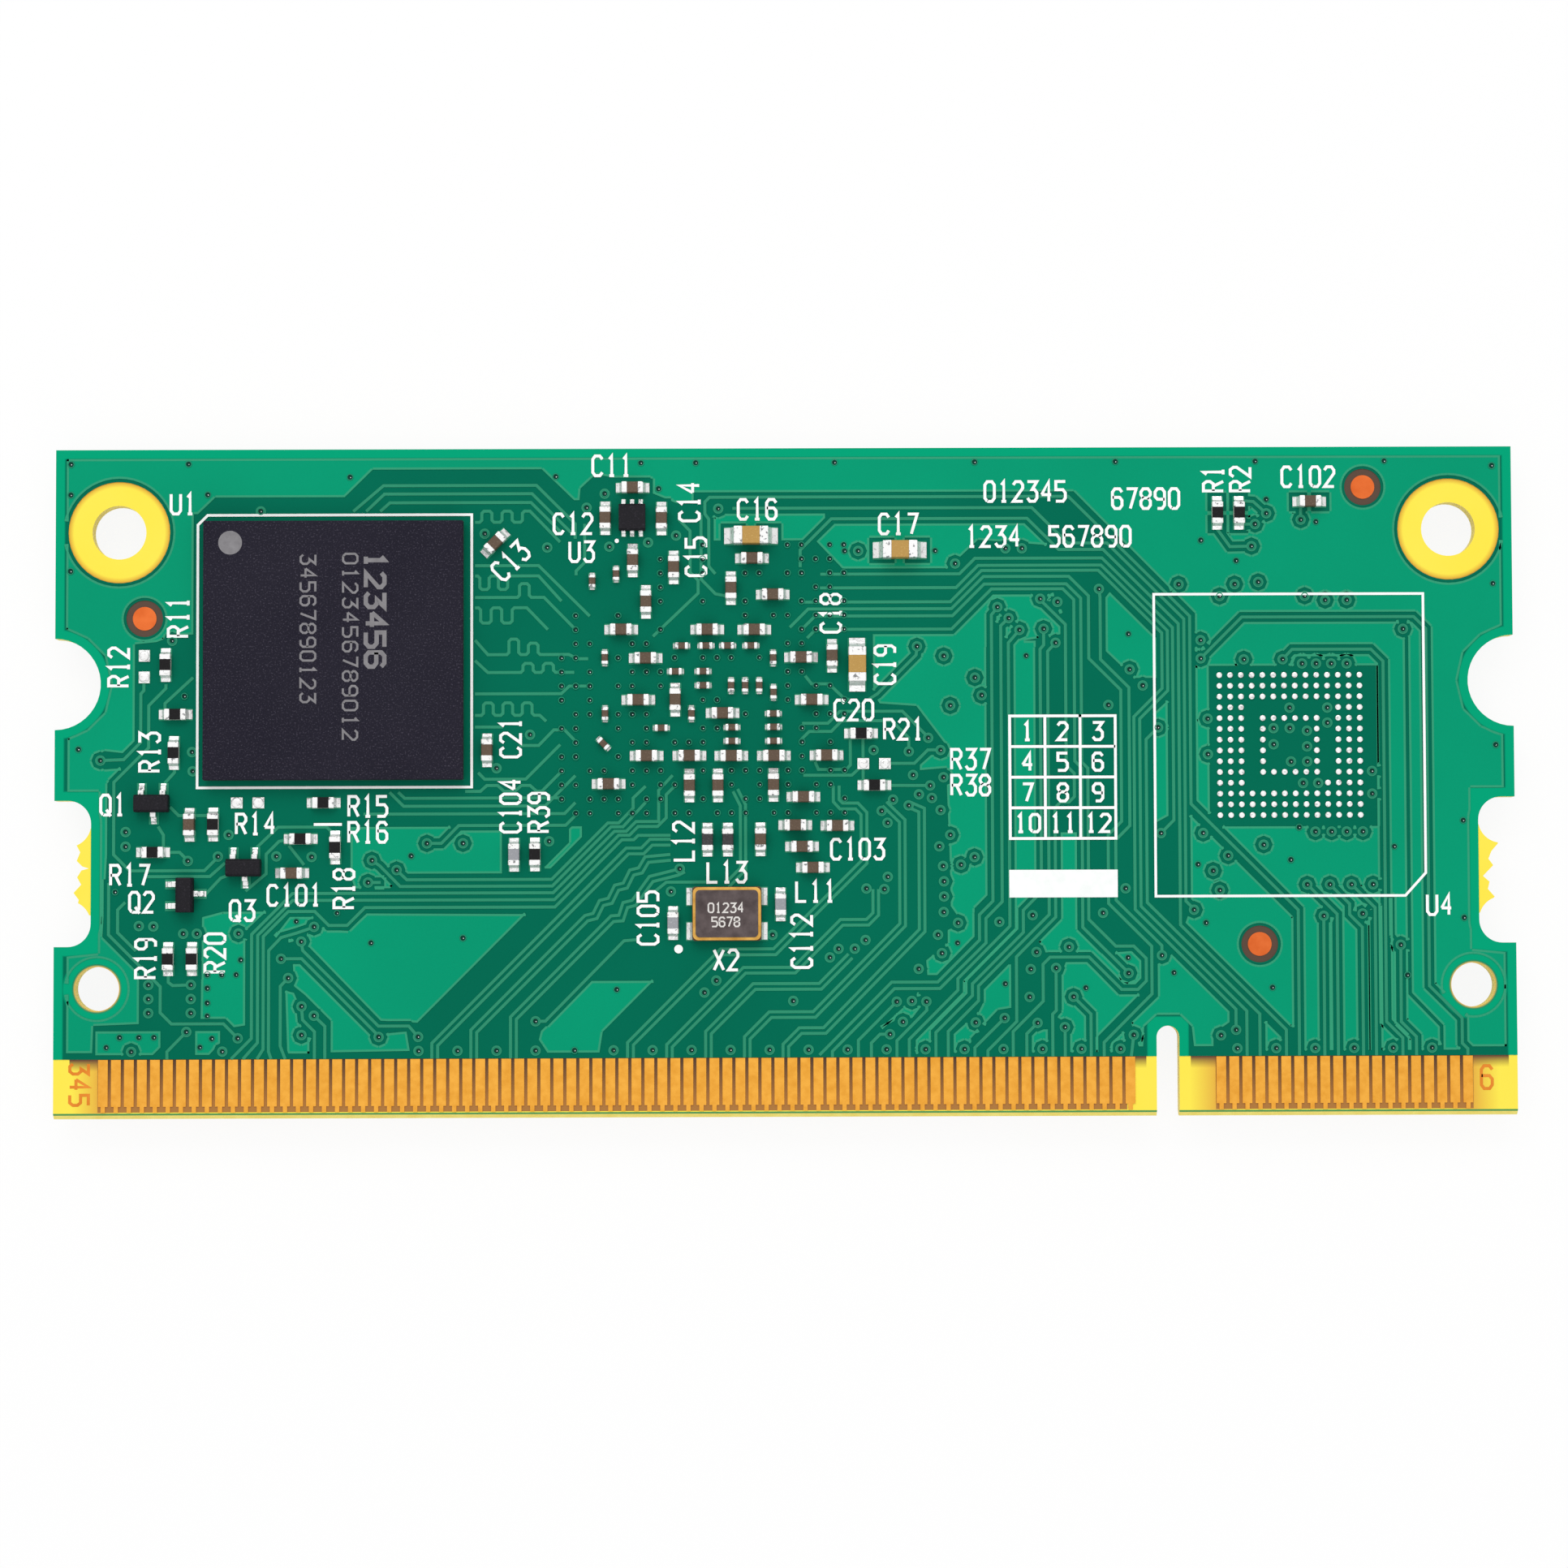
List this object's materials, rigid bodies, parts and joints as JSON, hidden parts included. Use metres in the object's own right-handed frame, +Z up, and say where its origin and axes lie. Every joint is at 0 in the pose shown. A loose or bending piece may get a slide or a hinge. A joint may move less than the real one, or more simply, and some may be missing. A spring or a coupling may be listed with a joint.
{
  "type": "system on module",
  "caption": "Small computer board with a gold contact edge, a key slot, latch notches, memory on one face and a processor on the other; plugs into a card-edge socket.",
  "frame": {"origin": "middle of the board's plan, at the table it lies on, which is the processor's outer face", "axes": "+X along the contact edge, +Y from the contact edge to the far edge, +Z up out of the memory side"},
  "size_m": [0.0676, 0.031, 0.003],
  "materials": {
    "laminate": "bare glass-epoxy, matt",
    "solder_mask": "green lacquer over laminate",
    "masked_copper": "green lacquer over copper",
    "contact_gold": "gold plating, satin",
    "bare_copper": "bare copper, satin",
    "via_plug": "lacquer in a plated hole",
    "mould": "moulded resin, fine speckle",
    "carrier": "carrier board, lacquered",
    "solder": "bright solder",
    "tin": "tinned end caps and leads",
    "dielectric_brown": "fired brown dielectric",
    "dielectric_tan": "fired tan dielectric",
    "dielectric_grey": "fired pale dielectric",
    "ferrite": "pressed ferrite",
    "alumina": "white fired substrate",
    "overcoat": "black glass overcoat",
    "crystal_base": "dark fired base",
    "seal_gold": "gold seal ring",
    "lid_metal": "brushed nickel lid"
  },
  "bodies": {
    "root": {"laminate": "laminate", "solder_mask_top": "solder_mask", "solder_mask_bottom": "solder_mask", "copper_top": "masked_copper", "copper_pours_top": "masked_copper", "copper_bottom": "masked_copper", "copper_pours_bottom": "masked_copper", "contact_fingers_top": "contact_gold", "contact_fingers_bottom": "contact_gold", "alignment_marks": "bare_copper", "via_plugs_top": "via_plug", "via_plugs_bottom": "via_plug", "memory_mould": "mould", "memory_carrier": "carrier", "memory_balls": "solder", "crystal_base": "crystal_base", "crystal_seal_ring": "seal_gold", "crystal_lid": "lid_metal", "tiny_regulator_body": "mould", "tiny_regulator_leads": "tin", "transistor_bodies": "mould", "transistor_leads": "tin", "large_capacitor_bodies": "dielectric_tan", "large_capacitor_ends": "tin", "medium_capacitor_bodies": "dielectric_brown", "medium_capacitor_ends": "tin", "pale_capacitor_bodies": "dielectric_grey", "pale_capacitor_ends": "tin", "small_capacitor_bodies": "dielectric_brown", "small_capacitor_ends": "tin", "resistor_bodies": "alumina", "resistor_coats": "overcoat", "resistor_ends": "tin", "bead_bodies": "ferrite", "bead_ends": "tin", "solder_joints_top": "solder", "bare_lands": "solder", "storage_lands": "solder", "processor_mould": "mould", "processor_carrier": "carrier", "processor_balls": "solder", "coil_bodies": "ferrite", "coil_terminals": "tin", "converter_bodies": "mould", "converter_pads": "tin", "linear_regulator_bodies": "mould", "linear_regulator_leads": "tin", "bulk_capacitor_bodies": "dielectric_tan", "bulk_capacitor_ends": "tin", "under_capacitor_bodies": "dielectric_brown", "under_capacitor_ends": "tin", "under_resistor_bodies": "alumina", "under_resistor_coats": "overcoat", "under_resistor_ends": "tin", "solder_joints_bottom": "solder"}
  },
  "joints": []
}
